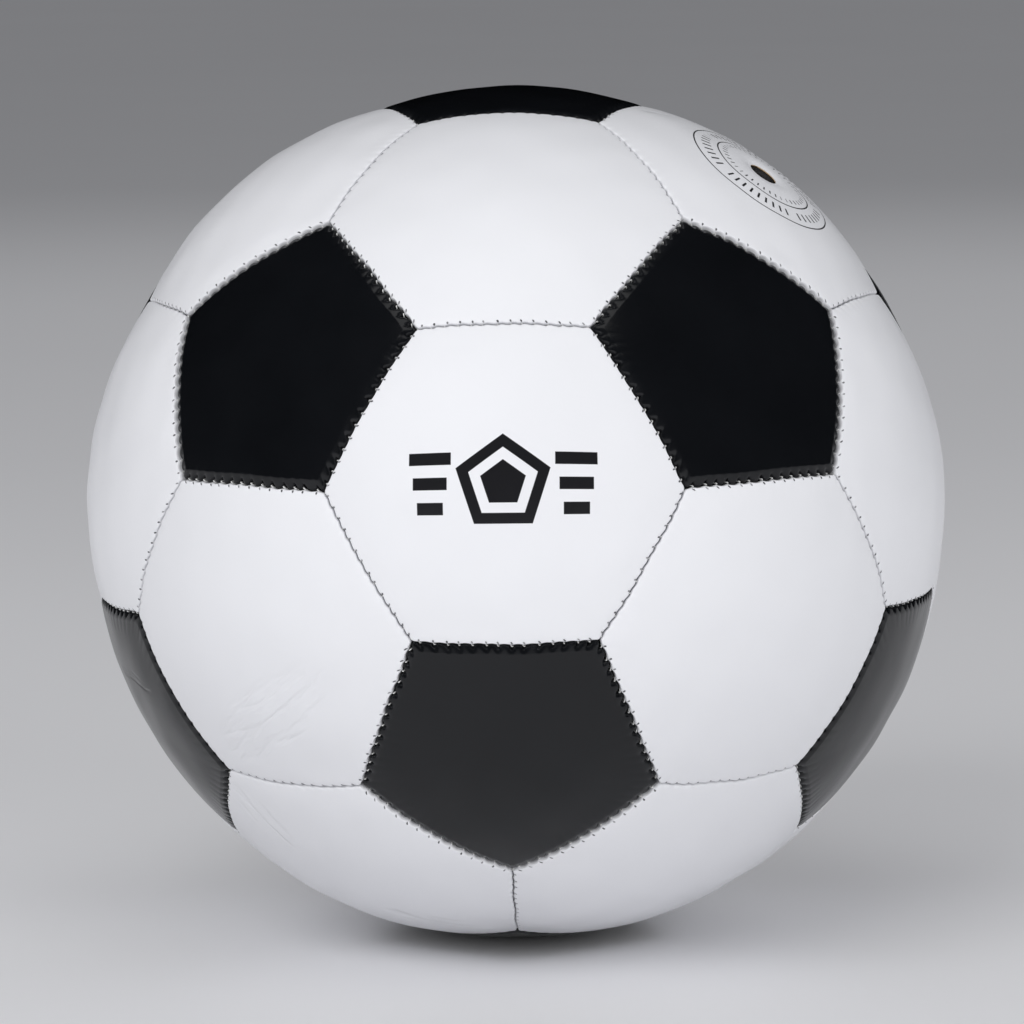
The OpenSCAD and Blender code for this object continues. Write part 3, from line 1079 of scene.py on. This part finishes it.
def stitch_strands(skin, panel, side, seam):
    """The strands that cross one seam, one at each stitch."""
    size = seams()
    direction = panel.corner + (side + 0.5) * TURN / panel.sides
    tilt = IN_ANGLE[panel.sides]
    out = np.array([math.cos(direction), math.sin(direction), 0.0])
    along = np.array([-math.sin(direction), math.cos(direction), 0.0])
    edge = HEXAGON_CROWN - shape().edge_drop
    reach = seam.mixed * (size.black_reach if panel.sides == 5 else -size.black_reach)
    shifts = seam.shift(seam.place) + seam.scallop(seam.place, panel.sides == 5) + reach
    steps, around = 9, 8
    angles = np.arange(around) / around * TURN
    for place, slant, shift in zip(seam.place, seam.slant, shifts):
        turned = (2 * place - 1) * HALF_SEAM
        middle = out * math.tan(tilt) + along * math.tan(turned) / math.cos(tilt)
        middle = middle + np.array([0, 0, 1.0])
        up = middle / np.linalg.norm(middle)
        across = np.cross(along, up)
        across /= np.linalg.norm(across)
        level = edge - shape().corner_drop * (2 * place - 1) ** 2
        path = []
        for i in range(steps):
            p = 2 * i / (steps - 1) - 1
            sunk = size.thread_depth + STRAND_DIVE * abs(p) ** 2.4
            path.append(up * (level - sunk) + across * (shift + p * size.thread_reach)
                        + along * (p * slant * MM))
        path = np.array(path)
        ways = np.gradient(path, axis=0)
        ways /= np.linalg.norm(ways, axis=1)[:, None]
        rings = []
        for i, (point, way) in enumerate(zip(path, ways)):
            side_way = np.cross(way, up)
            side_way /= np.linalg.norm(side_way)
            top_way = np.cross(side_way, way)
            circle = point + size.thread * (np.cos(angles)[:, None] * side_way
                                            + np.sin(angles)[:, None] * top_way)
            yarn = np.column_stack([np.full(around + 1, i / (steps - 1)),
                                    np.arange(around + 1) / around])
            rings.append(skin.ring(circle @ panel.turn.T, yarn=yarn))
        for a, b in zip(rings, rings[1:]):
            skin.join(a, b)
        skin.cap(rings[0], flip=True)
        skin.cap(rings[-1])


class BuildStitches(bpy.types.Operator):
    """Builds the sewing thread that shows in the seams"""
    bl_idname = "ball.stitches"
    bl_label = "Stitches"

    def execute(self, context):
        look = thread_look()
        for name, mixed in (("pentagon", True), ("hexagon", False)):
            skin = Skin("yarn")
            for panel in PANELS:
                for side in range(panel.sides):
                    seam = Seam(panel, side)
                    if seam.first and seam.mixed == mixed:
                        stitch_strands(skin, panel, side, seam)
            place_on_ball(skin.build(f"stitches_{name}", [look]), "sewing_thread", f"{name}_thread")
        return {"FINISHED"}


def pad(skin, panel, depth, thickness):
    """One cut layer of a panel with softly rounded edges."""
    size = shape()
    made = PanelShape(panel, 14)
    course, centre = made.full, made.full.thinned(2)
    has_hole = panel.name == VALVE_PANEL
    end = size.pad_hole if has_hole else None
    start = size.hem_gap + size.cover + size.layer_gap
    round_off = min(0.5 * MM, thickness / 2)
    shares = [0.0 if has_hole else 0.03, 0.2, 0.4, 0.6, 0.8, 0.93]

    def face(under, order):
        return inner_rings(made, skin, start + 1.5 * MM, [(centre, order)], end, under, sewn=False)

    rings = face(depth + thickness, shares)
    rings.append(made.ring(skin, course, start + round_off, under=depth + thickness, sewn=False))
    rings.append(made.ring(skin, course, start, under=depth + thickness - round_off, sewn=False))
    rings.append(made.ring(skin, course, start, under=depth + round_off, sewn=False))
    rings.append(made.ring(skin, course, start + round_off, under=depth, sewn=False))
    rings += face(depth, shares[::-1])
    for a, b in zip(rings, rings[1:]):
        skin.join(a, b)
    if has_hole:
        skin.join(rings[-1], rings[0])
    else:
        skin.cap(rings[0], flip=True)
        skin.cap(rings[-1])


def pads(name, sides, depth, thickness, look):
    skin = Skin("seam", "face")
    for panel in PANELS:
        if panel.sides == sides:
            pad(skin, panel, depth, thickness)
    return skin.build(name, [look])


class BuildLayers(bpy.types.Operator):
    """Builds the foam pads and the woven linings under the covers"""
    bl_idname = "ball.layers"
    bl_label = "Foam and Linings"

    def execute(self, context):
        size = shape()
        foam, cloth = foam_look(), weave_look("lining_cloth", colours().lining, 1.1 * MM)
        foam_depth = size.cover + size.layer_gap
        lining_depth = foam_depth + size.foam + size.layer_gap
        for name, sides in (("pentagon", 5), ("hexagon", 6)):
            piece = pads(f"foam_{name}s", sides, foam_depth, size.foam, foam)
            place_on_ball(piece, "foam", f"{name}_foam")
            piece = pads(f"lining_{name}s", sides, lining_depth, size.lining, cloth)
            place_on_ball(piece, "lining_cloth", f"{name}_lining")
        return {"FINISHED"}


def valve_turn():
    """The turn from +Z to the valve's axis."""
    return next(p for p in PANELS if p.name == VALVE_PANEL).turn


def dress(node, look):
    """Gives a CAD node its material."""
    materials = frame["nodes"][node].data.materials
    materials.clear()
    materials.append(look.material)


class BuildBladder(bpy.types.Operator):
    """Gives the bladder and what is bonded to it their materials"""
    bl_idname = "ball.bladder"
    bl_label = "Bladder"

    def execute(self, context):
        dress("bladder", rubber_look("bladder_rubber", colours().rubber, 0.42))
        dress("balance_patch", rubber_look("patch_rubber", colours().patch, 0.55))
        return {"FINISHED"}


class BuildValve(bpy.types.Operator):
    """Builds the valve's housing and its core, and gives the stiffening ring its material"""
    bl_idname = "ball.valve"
    bl_label = "Valve"

    def execute(self, context):
        size = context.scene.ball_valve
        turn = valve_turn()
        inside = math.sqrt(BLADDER_IN ** 2 - FLANGE_RADIUS ** 2)
        top, foot = VALVE_MOUTH, VALVE_FOOT
        bonded = BLADDER_IN - size.gap
        head_foot = top - size.head_length
        bulb_top = foot + size.bulb_length
        outer = rounded([
            (size.head + size.gap, head_foot - size.gap),
            (size.head + size.gap, top),
            (size.neck, top),
            (size.neck, bonded),
            (FLANGE_RADIUS, inside),
            (FLANGE_RADIUS, inside - size.flange),
            (size.stem, bonded - size.flange - 0.2 * MM),
            (size.stem, foot),
            (size.bulb + size.gap, foot),
            (size.bulb + size.gap, bulb_top + size.gap),
            (size.shank + size.gap, bulb_top + size.gap),
            (size.shank + size.gap, head_foot - size.gap)], size.lip)
        skin = Skin()
        lathe(skin, outer[::-1], turn)
        housing = skin.build("valve_body", [rubber_look("valve_rubber", colours().valve, 0.4)])
        place_on_ball(housing, "valve_rubber", "valve_housing")
        hole_foot = top - size.needle_depth
        solid = rounded([
            (size.needle, hole_foot + 0.8 * MM),
            (size.needle, top - 0.5 * MM),
            (size.needle + 0.35 * MM, top),
            (size.head, top),
            (size.head, head_foot),
            (size.shank, head_foot),
            (size.shank, bulb_top),
            (size.bulb, bulb_top),
            (size.bulb, foot)], 0.25 * MM)
        solid += [(size.slit, foot), (size.slit, hole_foot)]
        narrow = [1.0] * (len(solid) - 2) + [0.06, 0.06]
        skin = Skin()
        lathe(skin, solid[::-1], turn, squash=narrow[::-1])
        core = skin.build("valve_plug", [rubber_look("core_rubber", colours().core, 0.5)])
        place_on_ball(core, "core_rubber", "valve_core")
        dress("valve_backing", weave_look("backing_cloth", colours().backing, 0.9 * MM, False))
        return {"FINISHED"}


# Azimuth 0 is in front and 90 to the right. Power is in watts. A lamp that isn't shiny
# lights the ball without being mirrored in its covers.
Lamp = namedtuple("Lamp", "name azimuth elevation distance width power shiny")
LAMPS = [
    Lamp("key_left", -30, 28, 1.8, 1.3, 16.5, False),
    Lamp("key_right", 36, 14, 2.2, 1.2, 16, False),
    Lamp("back", 180, 32, 2.4, 1.2, 4, False),
    Lamp("top", 0, 66, 1.6, 0.9, 2.6, True),
    Lamp("side_left", -100, 22, 1.2, 0.5, 1.5, False),
    Lamp("side_right", 104, 20, 1.2, 0.5, 2.0, False),
]


def seen_from(azimuth, elevation, distance):
    """A place round the ball."""
    return distance * Vector((math.sin(azimuth) * math.cos(elevation),
                              -math.cos(azimuth) * math.cos(elevation), math.sin(elevation)))


class BuildStudio(bpy.types.Operator):
    """Builds the floor, the lights and the camera"""
    bl_idname = "ball.studio"
    bl_label = "Studio"

    def execute(self, context):
        scene = context.scene
        size = scene.ball_studio
        self.floor(size)
        self.world(scene, size)
        for lamp in LAMPS:
            self.lamp(lamp)
        self.camera(scene, size)
        return {"FINISHED"}

    def floor(self, size):
        half, level = 40.0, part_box("pentagon_bottom")[0].z
        mesh = bpy.data.meshes.new("floor")
        corners = [(-half, -half, level), (half, -half, level), (half, half, level),
                   (-half, half, level)]
        mesh.from_pydata(corners, [], [(0, 1, 2, 3)])
        look = Look("floor", Roughness=0.7, Base_Color=(*size.floor, 1.0))
        look.set("Base Color", look.mix(size.floor, shade(size.floor, 0.97), look.noise(0.4)))
        mesh.materials.append(look.material)
        floor = bpy.data.objects.new("floor", mesh)
        bpy.context.scene.collection.objects.link(floor)

    def world(self, scene, size):
        scene.view_settings.view_transform = "Standard"
        scene.world = bpy.data.worlds.new("studio")
        scene.world.use_nodes = True
        background = scene.world.node_tree.nodes["Background"]
        background.inputs["Color"].default_value = (0.96, 0.97, 1.0, 1.0)
        background.inputs["Strength"].default_value = size.sky
        scene.world.cycles_visibility.glossy = False

    def lamp(self, lamp):
        """A square soft light that faces the ball."""
        place = seen_from(math.radians(lamp.azimuth), math.radians(lamp.elevation), lamp.distance)
        data = bpy.data.lights.new(lamp.name, "AREA")
        data.shape, data.size, data.energy = "SQUARE", lamp.width, lamp.power
        made = bpy.data.objects.new(lamp.name, data)
        made.location = place
        made.visible_glossy = lamp.shiny
        made.rotation_euler = (-place).to_track_quat("-Z", "Y").to_euler()
        bpy.context.scene.collection.objects.link(made)

    def camera(self, scene, size):
        place = seen_from(size.azimuth, size.elevation, size.distance)
        right = Vector((math.cos(size.azimuth), math.sin(size.azimuth), 0))
        back = (place + right * size.aside).normalized()
        right = Vector((0, 0, 1)).cross(back).normalized()
        up = back.cross(right)
        rolled = right * math.cos(size.roll) + up * math.sin(size.roll)
        data = bpy.data.cameras.new("camera")
        data.lens, data.sensor_width = size.lens, 36
        camera = bpy.data.objects.new("camera", data)
        turn = Matrix((rolled, back.cross(rolled), back)).transposed()
        camera.matrix_world = Matrix.Translation(place) @ turn.to_4x4()
        scene.collection.objects.link(camera)
        scene.camera = camera


class BALL_PT_builder(bpy.types.Panel):
    """Lists what can be built and its sizes"""
    bl_label = "Soccer Ball"
    bl_space_type = "VIEW_3D"
    bl_region_type = "UI"
    bl_category = "Soccer Ball"

    def draw(self, context):
        for operator in OPERATORS:
            self.layout.operator(operator.bl_idname)
        for name in GROUPS:
            group = getattr(context.scene, name)
            box = self.layout.box()
            box.label(text=group.bl_rna.name)
            for item in type(group).__annotations__:
                box.prop(group, item)


GROUPS = {
    "ball_panels": PanelSizes,
    "ball_seams": SeamSizes,
    "ball_valve": ValveSizes,
    "ball_colours": BallColours,
    "ball_studio": StudioSizes,
}
OPERATORS = [BuildStudio, BuildWhiteCovers, BuildBlackCovers, BuildStitches, BuildLayers,
             BuildBladder, BuildValve]


def register():
    for kind in [*GROUPS.values(), *OPERATORS, BALL_PT_builder]:
        bpy.utils.register_class(kind)
    for name, group in GROUPS.items():
        setattr(bpy.types.Scene, name, PointerProperty(type=group))


def unregister():
    for name in GROUPS:
        delattr(bpy.types.Scene, name)
    for kind in [BALL_PT_builder, *reversed(OPERATORS), *GROUPS.values()]:
        bpy.utils.unregister_class(kind)


def main():
    register()
    for operator in OPERATORS:
        group, name = operator.bl_idname.split(".")
        getattr(getattr(bpy.ops, group), name)()


if __name__ == "__main__":
    main()
